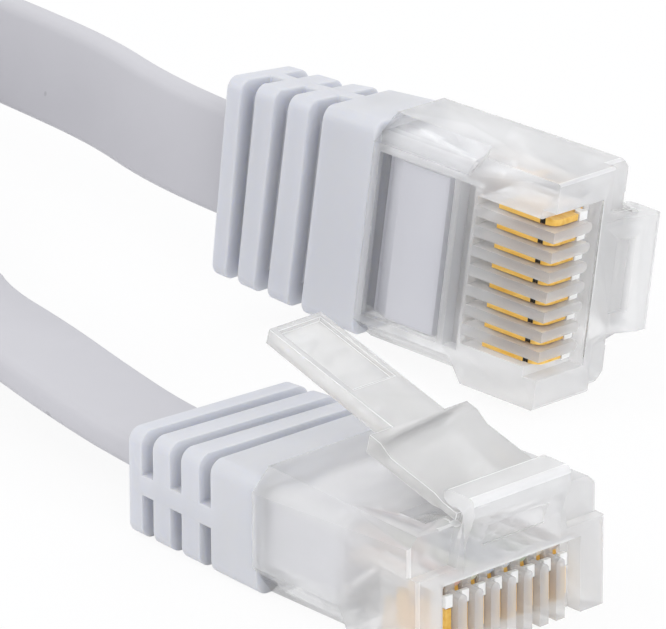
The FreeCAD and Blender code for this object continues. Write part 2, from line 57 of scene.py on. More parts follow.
class Body(Enum):
    """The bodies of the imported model."""

    LEAD = "lead"
    LATCH_A = "latch_a"
    LATCH_B = "latch_b"


class WireColour(Enum):
    """Insulation colours in the order of the contacts, first contact first."""

    WHITE_ORANGE = (238, 214, 190)
    ORANGE = (232, 140, 84)
    WHITE_GREEN = (222, 226, 186)
    BLUE = (150, 172, 206)
    WHITE_BLUE = (206, 214, 226)
    GREEN = (170, 196, 140)
    WHITE_BROWN = (232, 214, 184)
    BROWN = (186, 140, 110)


class HousingSlot(IntEnum):
    """The housing's material slots."""

    BODY = 0
    FINS = 1
    # Painted highlights: white blocks at the slots' ends and the pale line along the comb
    PAINTED_HIGHLIGHTS = 2
    NOSE = 3
    # Painted shade: a greyer clear finish darkens the groove and its wall
    GROOVE_SHADE = 4
    # Painted highlight: a whiter, less clear finish on the narrow faces of rounded edges
    EDGE = 5


def srgb(red: int, green: int, blue: int) -> Colour:
    """Turn a colour read off a picture into the linear values that a shader takes.

    Args:
        red: Red, from 0 to 255.
        green: Green, from 0 to 255.
        blue: Blue, from 0 to 255.

    Returns:
        The linear colour.
    """
    def linear(value: int) -> float:
        """Turn one channel linear."""
        share = value / 255
        return share / 12.92 if share <= 0.04045 else ((share + 0.055) / 1.055) ** 2.4
    return linear(red), linear(green), linear(blue)


def ease(share: float) -> float:
    """Ease from 0 to 1."""
    share = min(max(share, 0.0), 1.0)
    return share * share * (3 - 2 * share)


def way_mm(way: int) -> float:
    """Return where a way, counted from 1, lies across its plug, in millimetres."""
    return (way - (WAYS + 1) / 2) * PITCH_MM


class Nodes:
    """A tree of shader nodes."""

    def __init__(self, tree: bpy.types.NodeTree) -> None:
        """Take a tree and empty it."""
        self.tree = tree
        self.tree.nodes.clear()

    def link(self, source: bpy.types.NodeSocket, target: bpy.types.NodeSocket) -> None:
        """Wire an output to an input."""
        self.tree.links.new(source, target)

    def node(self, kind: str, **values: object) -> bpy.types.Node:
        """Add a node.

        Args:
            kind: The node's type, without its ShaderNode prefix.
            values: Attributes of the node, or inputs where the node has no such attribute.

        Returns:
            The node.
        """
        made = self.tree.nodes.new("ShaderNode" + kind)
        for key, value in values.items():
            if hasattr(made, key):
                setattr(made, key, value)
            else:
                made.inputs[key.replace("_", " ")].default_value = value
        return made

    def seen(self) -> bpy.types.NodeSocket:
        """Return a value that is 1 for what is seen straight, mirrored or through clear plastic."""
        path = self.node("LightPath")
        value = path.outputs["Is Camera Ray"]
        for kind in ("Is Glossy Ray", "Is Transmission Ray"):
            larger = self.node("Math", operation="MAXIMUM")
            self.link(value, larger.inputs[0])
            self.link(path.outputs[kind], larger.inputs[1])
            value = larger.outputs[0]
        return value

    def mix(self, share: bpy.types.NodeSocket, first: bpy.types.Node, second: bpy.types.Node,
            output: bpy.types.Node) -> None:
        """Mix two shaders into an output.

        Args:
            share: The share of the second shader.
            first: The first shader.
            second: The second shader.
            output: The output node.
        """
        made = self.node("MixShader")
        self.link(share, made.inputs["Fac"])
        self.link(first.outputs[0], made.inputs[1])
        self.link(second.outputs[0], made.inputs[2])
        self.link(made.outputs["Shader"], output.inputs["Surface"])


class Graph(Nodes):
    """A material's nodes, with its Principled shader wired to the output."""

    def __init__(self, name: str) -> None:
        """Make a plain material.

        Args:
            name: The material's name.
        """
        self.material = bpy.data.materials.new(name)
        self.material.use_nodes = True
        super().__init__(self.material.node_tree)
        self.output = self.node("OutputMaterial")
        self.shader = self.node("BsdfPrincipled")
        self.link(self.shader.outputs["BSDF"], self.output.inputs["Surface"])

    def set(self, **values: object) -> None:
        """Set sockets of the shader, named in lower case with underscores."""
        for key, value in values.items():
            socket = self.shader.inputs[key.replace("_", " ").title().replace("Ior", "IOR")]
            socket.default_value = (*value, 1.0) if isinstance(value, tuple) and len(value) == 3 else value

    def grain(self, scale: float, detail: float = 3.0) -> bpy.types.NodeSocket:
        """Add noise on the object's own coordinates.

        Args:
            scale: Grains per metre.
            detail: Octaves of the noise.

        Returns:
            The noise, from 0 to 1.
        """
        place = self.node("TexCoord")
        made = self.node("TexNoise", Scale=scale, Detail=detail)
        self.link(place.outputs["Object"], made.inputs["Vector"])
        return made.outputs["Fac"]

    def ramp(self, source: bpy.types.NodeSocket, *stops: tuple[float, Colour]) -> bpy.types.NodeSocket:
        """Turn a value into colours.

        Args:
            source: The value.
            stops: Places from 0 to 1 with their colours.

        Returns:
            The colour.
        """
        made = self.node("ValToRGB")
        for element, (place, colour) in zip(made.color_ramp.elements, stops):
            element.position = place
            element.color = (*colour, 1.0)
        self.link(source, made.inputs["Fac"])
        return made.outputs["Color"]

    def paint(self, colour: bpy.types.NodeSocket) -> None:
        """Give the shader its colour."""
        self.link(colour, self.shader.inputs["Base Color"])

    def bump(self, height: bpy.types.NodeSocket, distance: float, strength: float) -> None:
        """Bump the surface by a height.

        Args:
            height: The height, from 0 to 1.
            distance: How tall a height of 1 is, in metres.
            strength: How much of it is used.
        """
        made = self.node("Bump", Distance=distance, Strength=strength)
        self.link(height, made.inputs["Height"])
        self.link(made.outputs["Normal"], self.shader.inputs["Normal"])


@dataclass(frozen=True)
class SoftPvc:
    """White PVC of the boots and the cable, satin, with a fine moulded grain."""

    name: str
    light: Colour
    dark: Colour
    roughness: float = 0.42
    grain_per_m: float = 2600.0
    grain_depth_m: float = 0.00002
    cloud_per_m: float = 160.0
    specks: float = 0.0
    specks_per_m: float = 620.0
    speck_tone: Colour = (0.6, 0.6, 0.61)
    glow_through: float = 0.0
    glow_depth_m: float = 0.0009
    glow_radius: Colour = (0.9, 1.0, 1.3)

    def material(self) -> bpy.types.Material:
        """Build the finish."""
        graph = Graph(self.name)
        graph.set(roughness=self.roughness, specular_ior_level=0.4)
        if self.glow_through:
            graph.set(subsurface_weight=self.glow_through, subsurface_scale=self.glow_depth_m)
            graph.shader.inputs["Subsurface Radius"].default_value = self.glow_radius
        colour = graph.ramp(graph.grain(self.cloud_per_m), (0.3, self.dark), (0.7, self.light))
        if self.specks:
            spots = graph.grain(self.specks_per_m, 1.0)
            mask = graph.ramp(spots, (0.225, self.speck_tone), (0.24, (1.0, 1.0, 1.0)))
            mixed = graph.node("MixRGB", blend_type="MULTIPLY", Fac=self.specks)
            graph.link(colour, mixed.inputs["Color1"])
            graph.link(mask, mixed.inputs["Color2"])
            colour = mixed.outputs["Color"]
        graph.paint(colour)
        graph.bump(graph.grain(self.grain_per_m), self.grain_depth_m, 0.35)
        return graph.material


@dataclass(frozen=True)
class ClearPlastic:
    """Clear polycarbonate with a faint milky veil, pale moulded edges and flow marks.

    Part of the light goes straight through, and less of it where the surface is seen at a slant.
    """

    name: str
    tint: Colour
    roughness: float = 0.08
    transmission: float = 0.5
    ior: float = 1.33
    through: float = 0.45
    edge_veil: float = 0.3
    edge_blend: float = 0.35
    straight_tint: Colour = (0.985, 0.985, 0.988)
    cloud_per_m: float = 240.0
    cloud_gain: float = 1.015
    flow_per_m: float = 420.0
    flow_depth_m: float = 0.00003

    def material(self) -> bpy.types.Material:
        """Build the finish."""
        graph = Graph(self.name)
        graph.set(transmission_weight=self.transmission, ior=self.ior, roughness=self.roughness)
        pale = tuple(min(1.0, value * self.cloud_gain) for value in self.tint)
        graph.paint(graph.ramp(graph.grain(self.cloud_per_m, 2.0), (0.3, self.tint), (0.7, pale)))
        graph.bump(graph.grain(self.flow_per_m, 1.5), self.flow_depth_m, 0.12)
        straight = graph.node("BsdfTransparent", Color=(*self.straight_tint, 1.0))
        slant = graph.node("LayerWeight", Blend=self.edge_blend)
        veil = 1 - self.through
        share = graph.node("MapRange", clamp=True, To_Min=veil, To_Max=min(1.0, veil + self.edge_veil))
        graph.link(slant.outputs["Facing"], share.inputs["Value"])
        graph.mix(share.outputs["Result"], straight, graph.shader, graph.output)
        return graph.material


@dataclass(frozen=True)
class GoldPlate:
    """Gold plated bronze, brushed along the blade."""

    name: str = "gold_plate"
    dark: Colour = srgb(244, 190, 84)
    light: Colour = srgb(255, 214, 122)
    brush_per_m: tuple[float, float, float] = (300.0, 4000.0, 4000.0)
    brush_depth_m: float = 0.00001

    def material(self) -> bpy.types.Material:
        """Build the finish."""
        graph = Graph(self.name)
        graph.set(metallic=0.75, roughness=0.3)
        place = graph.node("TexCoord")
        stretch = graph.node("Mapping", Scale=self.brush_per_m)
        graph.link(place.outputs["Object"], stretch.inputs["Vector"])
        brushed = graph.node("TexNoise", Scale=1.0, Detail=2.0)
        graph.link(stretch.outputs["Vector"], brushed.inputs["Vector"])
        graph.paint(graph.ramp(brushed.outputs["Fac"], (0.3, self.dark), (0.7, self.light)))
        graph.bump(brushed.outputs["Fac"], self.brush_depth_m, 0.3)
        return graph.material


@dataclass(frozen=True)
class Insulation:
    """Pale wire insulation with a slight streak along the wire."""

    colour: WireColour
    depth: float = 0.55
    lift: float = 0.38
    streaks_per_m: float = 900.0

    def material(self) -> bpy.types.Material:
        """Build the finish."""
        graph = Graph("insulation_" + self.colour.name.lower())
        graph.set(roughness=0.38)
        base = tuple(value * self.depth + self.lift for value in srgb(*self.colour.value))
        pale = tuple(value * 0.75 + 0.22 for value in base)
        graph.paint(graph.ramp(graph.grain(self.streaks_per_m), (0.35, base), (0.75, pale)))
        return graph.material


@dataclass(frozen=True)
class StrapFinish:
    """A thin soft strap with fine hooks, seen only close behind the lead."""

    name: str = "coil_strap"
    dark: Colour = srgb(186, 187, 192)
    light: Colour = srgb(214, 215, 219)
    hooks_per_m: float = 2600.0
    hook_depth_m: float = 0.00008

    def material(self) -> bpy.types.Material:
        """Build the finish."""
        graph = Graph(self.name)
        graph.set(roughness=0.85)
        place = graph.node("TexCoord")
        hooks = graph.node("TexVoronoi", Scale=self.hooks_per_m)
        graph.link(place.outputs["Object"], hooks.inputs["Vector"])
        graph.paint(graph.ramp(hooks.outputs["Distance"], (0.1, self.dark), (0.7, self.light)))
        graph.bump(hooks.outputs["Distance"], self.hook_depth_m, 0.6)
        return graph.material


@dataclass(frozen=True)
class PaleFloor:
    """A white floor that stays white in the picture and keeps a soft shadow."""

    name: str = "pale_floor"
    colour: Colour = (0.93, 0.93, 0.94)
    glow: float = 0.91

    def material(self) -> bpy.types.Material:
        """Build the finish."""
        graph = Graph(self.name)
        graph.set(base_color=self.colour, roughness=0.9, specular_ior_level=0.1)
        light = graph.node("Emission", Strength=1.0)
        share = graph.node("Math", operation="MULTIPLY")
        share.inputs[1].default_value = self.glow
        graph.link(graph.seen(), share.inputs[0])
        graph.mix(share.outputs[0], graph.shader, light, graph.output)
        return graph.material


@dataclass(frozen=True)
class PlugFinishes:
    """The finishes that both plugs share."""

    clear: bpy.types.Material
    latch: bpy.types.Material
    fins: bpy.types.Material
    nose: bpy.types.Material
    painted_highlights: bpy.types.Material
    # edge is the whiter finish that paints highlights on rounded edges
    edge: bpy.types.Material
    groove_shade: bpy.types.Material
    clamp_bar: bpy.types.Material
    mould: bpy.types.Material
    boot: bpy.types.Material
    gold: bpy.types.Material
    notch_shade_and_reflection: bpy.types.Material
    insulation: tuple[bpy.types.Material, ...]


def mix_finishes() -> PlugFinishes:
    """Make the finishes of the plugs, each in the tone that the photograph shows."""
    return PlugFinishes(
        clear=ClearPlastic("clear_polycarbonate", (0.985, 0.985, 0.985), 0.09, 0.66, through=0.55,
                           edge_veil=0.36).material(),
        latch=ClearPlastic("clear_latch", (0.83, 0.823, 0.806), 0.05, through=0.42).material(),
        fins=ClearPlastic("clear_fins", (0.99, 0.985, 0.975), transmission=0.45, ior=1.3).material(),
        nose=ClearPlastic("clear_nose", (0.97, 0.967, 0.961), through=0.46, edge_veil=0.36).material(),
        # A near-white finish that paints the highlights at the slots' ends and along the comb
        painted_highlights=SoftPvc("painted_highlights", srgb(252, 252, 250), srgb(246, 246, 244), 0.3).material(),
        # A whiter, less clear finish that paints highlights on rounded edges
        edge=ClearPlastic("clear_edge_highlight", (1.0, 1.0, 0.995), 0.1, 0.3, 1.3, 0.3, 0.2).material(),
        # A greyer clear finish that paints shade into the groove behind the window
        groove_shade=ClearPlastic("clear_groove_shade", (0.83, 0.84, 0.845), transmission=0.35, edge_veil=0.2).material(),
        clamp_bar=SoftPvc("wedge_white", srgb(214, 214, 218), srgb(209, 209, 214), 0.3).material(),
        mould=SoftPvc("mould_white", srgb(228, 228, 233), srgb(222, 222, 228)).material(),
        boot=SoftPvc("boot_white", srgb(214, 215, 219), srgb(210, 211, 216), glow_through=0.5).material(),
        gold=GoldPlate().material(),
        # A near-black finish that paints shade and reflection into each blade's notch
        notch_shade_and_reflection=SoftPvc("notch_shade", srgb(40, 32, 20), srgb(26, 22, 16)).material(),
        insulation=tuple(Insulation(colour).material() for colour in WireColour))


class Piece:
    """A mesh object that rides on a body."""

    def __init__(self, name: str, mesh: bpy.types.Mesh, body: Body) -> None:
        """Put a mesh in the scene.

        Args:
            name: The piece's name.
            mesh: Its mesh, in the row frame.
            body: The body it rides on.
        """
        self.object = bpy.data.objects.new(name, mesh)
        bpy.context.scene.collection.objects.link(self.object)
        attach(self.object, body.value)
        log.info("%s rides on %s", name, body.value)

    def dress(self, material: bpy.types.Material, slot: str) -> None:
        """Give the piece its finish.

        Args:
            material: The finish.
            slot: The record's material slot; not used.
        """
        self.object.data.materials.append(material)


def finish_node(node: str, material: bpy.types.Material) -> None:
    """Give a CAD node a better material.

    Args:
        node: The node's name.
        material: The finish.
    """
    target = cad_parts[node]
    if not target.material_slots:
        target.data.materials.append(material)
    for place in target.material_slots:
        place.material = material
    log.info("%s keeps its shape and gets %s", node, material.name)


def skin(work: bmesh.types.BMesh, rings: Sequence[list[bmesh.types.BMVert]],
         smooth: bool = False) -> list[bmesh.types.BMFace]:
    """Join closed rings of vertices, each to the next, and close both ends.

    Args:
        work: The mesh being built.
        rings: The rings, with equally many vertices.
        smooth: Whether the sides are shaded smooth.

    Returns:
        The sides, ring by ring, where side k ends at vertex k of its ring, then the two ends.
    """
    faces = []
    for near, far in zip(rings, rings[1:]):
        for k in range(len(near)):
            face = work.faces.new((near[k - 1], near[k], far[k], far[k - 1]))
            face.smooth = smooth
            faces.append(face)
    return faces + [work.faces.new(rings[0]), work.faces.new(rings[-1])]


def write_mesh(work: bmesh.types.BMesh, name: str, sharp_deg: float | None = None) -> bpy.types.Mesh:
    """Turn the faces outward and write them to a new mesh.

    Args:
        work: The mesh being built, which is freed.
        name: The new mesh's name.
        sharp_deg: The angle past which an edge is shaded sharp, where the faces are smooth.

    Returns:
        The new mesh.
    """
    bmesh.ops.recalc_face_normals(work, faces=work.faces)
    mesh = bpy.data.meshes.new(name)
    work.to_mesh(mesh)
    work.free()
    if sharp_deg is not None:
        mesh.set_sharp_from_angle(angle=math.radians(sharp_deg))
    return mesh


@dataclass
class RoundedCopy:
    """A moulded piece: a node's own shape with its sharp edges rounded as a mould leaves them."""

    node: str
    body: Body
    radius_mm: float = 0.12
    segments: int = 2
    grow_mm: float = 0.0
    bend: Callable[[Vector], Vector] | None = None
    merge_m: float = 2e-6
    flat_deg: float = 1.5
    rounded_deg: float = 28.0
    sharp_deg: float = 34.0

    def build(self) -> Piece:
        """Copy the node's mesh and round it.

        Returns:
            The piece that stands for the node.
        """
        piece = Piece(self.node + "_moulded", self.copy_mesh(), self.body)
        rounding = piece.object.modifiers.new("rounding", "BEVEL")
        rounding.width = self.radius_mm * MM
        rounding.segments = self.segments
        rounding.limit_method = "ANGLE"
        rounding.angle_limit = math.radians(self.rounded_deg)
        rounding.harden_normals = True
        rounding.use_clamp_overlap = True
        shaped = piece.object.evaluated_get(bpy.context.evaluated_depsgraph_get())
        rounded = bpy.data.meshes.new_from_object(shaped)
        piece.object.modifiers.clear()
        piece.object.data = rounded
        rounded.shade_smooth()
        rounded.set_sharp_from_angle(angle=math.radians(self.sharp_deg))
        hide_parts(self.node)
        return piece

    def copy_mesh(self) -> bpy.types.Mesh:
        """Return a cleaned copy of the node's mesh, grown and bent as asked."""
        work = bmesh.new()
        work.from_mesh(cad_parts[self.node].data)
        bmesh.ops.remove_doubles(work, verts=work.verts, dist=self.merge_m)
        flat = math.radians(self.flat_deg)
        bmesh.ops.dissolve_limit(work, angle_limit=flat, verts=work.verts, edges=work.edges)
        bmesh.ops.recalc_face_normals(work, faces=work.faces)
        if self.grow_mm:
            for vertex in work.verts:
                vertex.co += vertex.normal * self.grow_mm * MM
        if self.bend:
            for vertex in work.verts:
                vertex.co = self.bend(vertex.co / MM) * MM
        mesh = bpy.data.meshes.new(self.node + "_moulded")
        work.to_mesh(mesh)
        work.free()
        return mesh


@dataclass(frozen=True)
class Stand:
    """How a plug stands: turned about its nose's lower edge and moved there, in millimetres."""

    turn: Matrix
    origin: Vector

    def out(self, point: Vector) -> Vector:
        """Take a point from the plug's own frame to the row frame."""
        return self.origin + self.turn @ point

    def inside(self, point: Vector) -> Vector:
        """Take a point from the row frame to the plug's own frame."""
        return self.turn.transposed() @ (point - self.origin)

    def vertex(self, work: bmesh.types.BMesh, x: float, y: float, z: float) -> bmesh.types.BMVert:
        """Add a vertex given in the plug's own frame, in millimetres."""
        return work.verts.new(self.out(Vector((x, y, z))) * MM)


STAND_A = Stand(Matrix.Identity(3), Vector((0.0, 0.0, 0.0)))
STAND_B = Stand(
    Matrix.Rotation(math.radians(9.06), 3, "Z") @ Matrix.Rotation(math.radians(3.84), 3, "Y")
    @ Matrix.Rotation(math.radians(-95.6), 3, "X"), Vector((-17.64, 18.71, 6.385)))


@dataclass(frozen=True)
class Zone:
    """A part of a plug's space, in the plug's own frame, in millimetres."""

    low: Point
    high: Point

    def holds(self, point: Vector) -> bool:
        """Tell whether a point lies inside."""
        return all(low < value < high for low, value, high in zip(self.low, point, self.high))


@dataclass(frozen=True)
class Slump:
    """How the soft ribs of a boot have given way under the pull of the cable, in millimetres."""

    stand: Stand
    far_top_down: float = 0.0
    near_side_in: float = 0.0
    rear_forward: float = 0.0
    front: float = -12.5
    last_rib: float = -17.0
    rear: float = -20.7
    half_width: float = 5.2
    height: float = 5.45
    steepness: float = 1.6

    def __call__(self, point: Vector) -> Vector:
        """Move one point of the boot."""
        x, y, z = self.stand.inside(point)
        share = ease((self.front - x) / (self.front - self.rear) * self.steepness)
        last = ease((self.last_rib - x) / (self.last_rib - self.rear))
        up = min(max(z / self.height, 0.0), 1.0)
        across = min(max((y + self.half_width) / (2 * self.half_width), 0.0), 1.0)
        x += self.rear_forward * last * across
        y += self.near_side_in * share * up * (1 - across)
        z -= self.far_top_down * share * up * across
        return self.stand.out(Vector((x, y, z)))


@dataclass
class ClampBar:
    """The bar that grips the jacket in the housing's window: a flat face between two sloping sides."""

    letter: str
    stand: Stand
    finish: bpy.types.Material
    half_mm: float = 4.13
    back_mm: float = 1.04
    slope_mm: Outline = (
        (-10.66, 1.04), (-10.6, 0.84), (-9.72, 0.34), (-9.55, 0.25), (-8.2, 0.22), (-6.86, 0.22),
        (-6.72, 0.3), (-6.52, 0.86), (-6.5, 1.04))
    ends: Outline = ((-1.0, 0.9), (-0.985, 1.0), (0.985, 1.0), (1.0, 0.9))

    def build(self) -> Piece:
        """Build the bar.

        Returns:
            The piece that stands for the node.
        """
        work = bmesh.new()
        rings = []
        for side, share in self.ends:
            y = side * self.half_mm
            rings.append([self.stand.vertex(work, x, y, self.back_mm - (self.back_mm - z) * share)
                          for x, z in self.slope_mm])
        skin(work, rings, smooth=True)
        mesh = write_mesh(work, f"plug_{self.letter}_clamp_bar", 40)
        piece = Piece(mesh.name, mesh, Body.LEAD)
        piece.dress(self.finish, "clear_wedge")
        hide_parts(f"plug_{self.letter}_strain_wedge")
        return piece


@dataclass
class Contacts:
    """The eight gold blades of a plug, each with two teeth and a rounded nose, behind which a shallow notch
    is painted dark as shade and reflection.
    """

    letter: str
    stand: Stand
    gold: bpy.types.Material
    shade: bpy.types.Material
    thickness_mm: float = 0.32
    rear_mm: float = -3.76
    low_mm: float = 0.45
    high_mm: float = 2.35
    dent_mm: Outline = (
        (-1.26, 0.45), (-1.22, 0.51), (-1.14, 0.54), (-1.08, 0.5), (-1.02, 0.53), (-0.96, 0.48))
    nose_middle_mm: tuple[float, float] = (-1.0, 1.08)
    nose_radius_mm: float = 0.6
    nose_angles: tuple[float, ...] = (0.4, 0.65, 0.9, 1.2, 1.5)
    teeth_mm: tuple[float, ...] = (-1.25, -2.75)
    tooth_top_mm: float = 3.4
    tooth_foot_mm: float = 0.34
    tooth_tip_mm: float = 0.085

    def profile(self) -> list[tuple[float, float]]:
        """The blade's outline from the side, in millimetres, from its rear lower corner towards the nose."""
        x, z = self.nose_middle_mm
        radius = self.nose_radius_mm
        foot, tip = self.tooth_foot_mm, self.tooth_tip_mm
        high, top = self.high_mm, self.tooth_top_mm
        points = [(self.rear_mm, self.low_mm), *self.dent_mm]
        points += [(x + radius * math.sin(a), z - radius * math.cos(a)) for a in self.nose_angles]
        points.append((x + radius, high))
        for tooth in self.teeth_mm:
            points += [(tooth + foot, high), (tooth + tip, top), (tooth - tip, top), (tooth - foot, high)]
        return points + [(self.rear_mm, high)]

    def build(self) -> Piece:
        """Build the blades as one piece.

        Returns:
            The piece that stands for the eight contacts.
        """
        work = bmesh.new()
        profile = self.profile()
        for way in range(1, WAYS + 1):
            rings = [[self.stand.vertex(work, x, way_mm(way) + side, z) for x, z in profile]
                     for side in (-self.thickness_mm / 2, self.thickness_mm / 2)]
            # The notch's faces get the dark painted shade and reflection
            for face in skin(work, rings)[2:len(self.dent_mm) + 1]:
                face.material_index = 1
        mesh = write_mesh(work, f"plug_{self.letter}_blades")
        piece = Piece(mesh.name, mesh, Body.LEAD)
        piece.dress(self.gold, "gold_contact")
        mesh.materials.append(self.shade)
        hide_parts(*[f"plug_{self.letter}_contact_{k}" for k in range(1, 9)])
        return piece


@dataclass
class Conductor:
    """One round insulated wire, with its bare copper end."""

    letter: str
    number: int
    stand: Stand
    colour: WireColour
    insulation: bpy.types.Material
    copper: bpy.types.Material
    radius_mm: float = 0.375
    height_mm: float = 3.4
    sides: int = 16
    steps: Outline = ((-6.08, 1.0), (-1.0, 1.0), (-0.97, 0.9), (-0.97, 0.52), (-0.96, 0.5))

    def build(self) -> Piece:
        """Build the wire.

        Returns:
            The piece that stands for the node.
        """
        work = bmesh.new()
        angles = [2 * math.pi * k / self.sides for k in range(self.sides)]
        rings = []
        for x, share in self.steps:
            radius = self.radius_mm * share
            rings.append([self.stand.vertex(work, x, way_mm(self.number) + radius * math.cos(a),
                                            self.height_mm + radius * math.sin(a)) for a in angles])
        skin(work, rings, smooth=True)[-1].material_index = 1
        name = f"plug_{self.letter}_wire_{self.number}"
        mesh = write_mesh(work, name + "_round", 50)
        piece = Piece(mesh.name, mesh, Body.LEAD)
        piece.dress(self.insulation, "wire_" + self.colour.name.lower())
        mesh.materials.append(self.copper)
        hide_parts(name)
        return piece


@dataclass
class Plug:
    """One modular plug with its boot, contacts, wires and latch."""

    letter: str
    latch_body: Body
    stand: Stand
    slump: Slump
    finishes: PlugFinishes
    comb: Zone = Zone((-4.9, -4.25, 0.05), (0.1, 4.25, 3.1))
    # Where the housing's faces get the painted groove shade
    groove_shade: Zone = Zone((-6.75, -5.0, -FAR_MM), (-4.95, 5.0, 0.9))
    nose: Zone = Zone((-4.9, -FAR_MM, -FAR_MM), (FAR_MM, FAR_MM, FAR_MM))
    narrow_mm: float = 0.09
    pale_line: Zone = Zone((-0.1, -4.2, 3.8), (-0.01, 3.9, 3.9))
    # The slot_ values shape the white blocks that paint a highlight at each slot's end
    slot_front_mm: float = -0.36
    slot_depth_mm: float = 0.52
    slot_half_mm: float = 0.22
    slot_middle_mm: float = 2.73
    slot_rise_mm: float = 0.31
    slot_angles: tuple[float, ...] = (0.4, 0.9, 1.57, 2.24, 2.74)

    def node(self, name: str) -> str:
        """Return the full name of one of this plug's nodes."""
        return f"plug_{self.letter}_{name}"

    def build(self) -> None:
        """Build and dress every piece of the plug."""
        self.build_housing()
        self.build_latch()
        boot = RoundedCopy(self.node("boot"), Body.LEAD, 0.3, 4, grow_mm=0.01, bend=self.slump).build()
        boot.dress(self.finishes.boot, "boot")
        mould = RoundedCopy(self.node("inner_mould"), Body.LEAD, 0.1, grow_mm=-0.02).build()
        mould.dress(self.finishes.mould, "inner_mould")
        ClampBar(self.letter, self.stand, self.finishes.clamp_bar).build()
        finish_node(self.node("jacket_end"), self.finishes.mould)
        Contacts(self.letter, self.stand, self.finishes.gold, self.finishes.notch_shade_and_reflection).build()
        for number, (colour, material) in enumerate(zip(WireColour, self.finishes.insulation), 1):
            Conductor(self.letter, number, self.stand, colour, material, self.finishes.gold).build()

    def build_housing(self) -> None:
        """Build the housing, with painted highlights at its slots' ends and in a thin pale line along the
        comb.
        """
        housing = RoundedCopy(self.node("housing"), Body.LEAD, 0.08).build()
        housing.dress(self.finishes.clear, "clear_housing")
        mesh = housing.object.data
        own = self.finishes
        for finish in (own.fins, own.painted_highlights, own.nose, own.groove_shade, own.edge):
            mesh.materials.append(finish)
        for face in mesh.polygons:
            face.material_index = self.slot_of(mesh, face)
        work = bmesh.new()
        work.from_mesh(mesh)
        for way in range(1, WAYS + 1):
            self.add_slot_end_highlight(work, way_mm(way))
        self.add_pale_line(work)
        work.to_mesh(mesh)
        work.free()

    def build_latch(self) -> None:
        """Build the latch, with a painted highlight on its rounded edges."""
        latch = RoundedCopy(self.node("latch"), self.latch_body, 0.1).build()
        latch.dress(self.finishes.latch, "clear_latch")
        mesh = latch.object.data
        # The narrow faces of the rounded edges get the painted highlight
        mesh.materials.append(self.finishes.edge)
        for face in mesh.polygons:
            if self.is_edge(mesh, face):
                face.material_index = 1

    def slot_of(self, mesh: bpy.types.Mesh, face: bpy.types.MeshPolygon) -> HousingSlot:
        """Choose a face's finish by where it lies on the housing.

        Args:
            mesh: The housing's mesh.
            face: The face.

        Returns:
            The material slot.
        """
        place = self.stand.inside(face.center / MM)
        if self.comb.holds(place):
            return HousingSlot.FINS
        # Narrow faces of rounded edges get a painted highlight
        if self.is_edge(mesh, face):
            return HousingSlot.EDGE
        # Faces in the groove get painted shade
        if self.groove_shade.holds(place):
            return HousingSlot.GROOVE_SHADE
        if self.nose.holds(place):
            return HousingSlot.NOSE
        return HousingSlot.BODY

    def is_edge(self, mesh: bpy.types.Mesh, face: bpy.types.MeshPolygon) -> bool:
        """Tell whether a face belongs to a rounded edge, by how narrow it is."""
        corners = [mesh.vertices[k].co for k in face.vertices]
        longest = max((a - b).length for a, b in zip(corners, corners[1:] + corners[:1]))
        return longest > 0 and face.area / longest < self.narrow_mm * MM

    def add_slot_end_highlight(self, work: bmesh.types.BMesh, middle: float) -> None:
        """Add a white rounded block at the end of one slot, in front of its wire, as a painted highlight.

        Args:
            work: The housing's mesh.
            middle: The slot's place across the plug, in millimetres.
        """
        front = self.slot_front_mm
        height = self.slot_middle_mm
        rise = self.slot_rise_mm
        outline = [(front, height - rise), (front, height + rise)]
        outline += [(front - self.slot_depth_mm * math.sin(a), height + rise * math.cos(a))
                    for a in self.slot_angles]
        rings = [[self.stand.vertex(work, x, middle + side, z) for x, z in outline]
                 for side in (-self.slot_half_mm, self.slot_half_mm)]
        faces = skin(work, rings)
        for face in faces:
            # The block gets the near-white painted highlight
            face.material_index = HousingSlot.PAINTED_HIGHLIGHTS
        bmesh.ops.recalc_face_normals(work, faces=faces)

    def add_pale_line(self, work: bmesh.types.BMesh) -> None:
        """Add the thin pale line along the comb, where the moulding catches the light."""
        low = Vector(self.pale_line.low)
        size = Vector(self.pale_line.high) - low
        corners = bmesh.ops.create_cube(work, size=1.0)["verts"]
        for vertex in corners:
            share = vertex.co + Vector((0.5, 0.5, 0.5))
            vertex.co = self.stand.out(low + Vector([a * b for a, b in zip(share, size)])) * MM
        for face in {face for vertex in corners for face in vertex.link_faces}:
            face.material_index = HousingSlot.PAINTED_HIGHLIGHTS


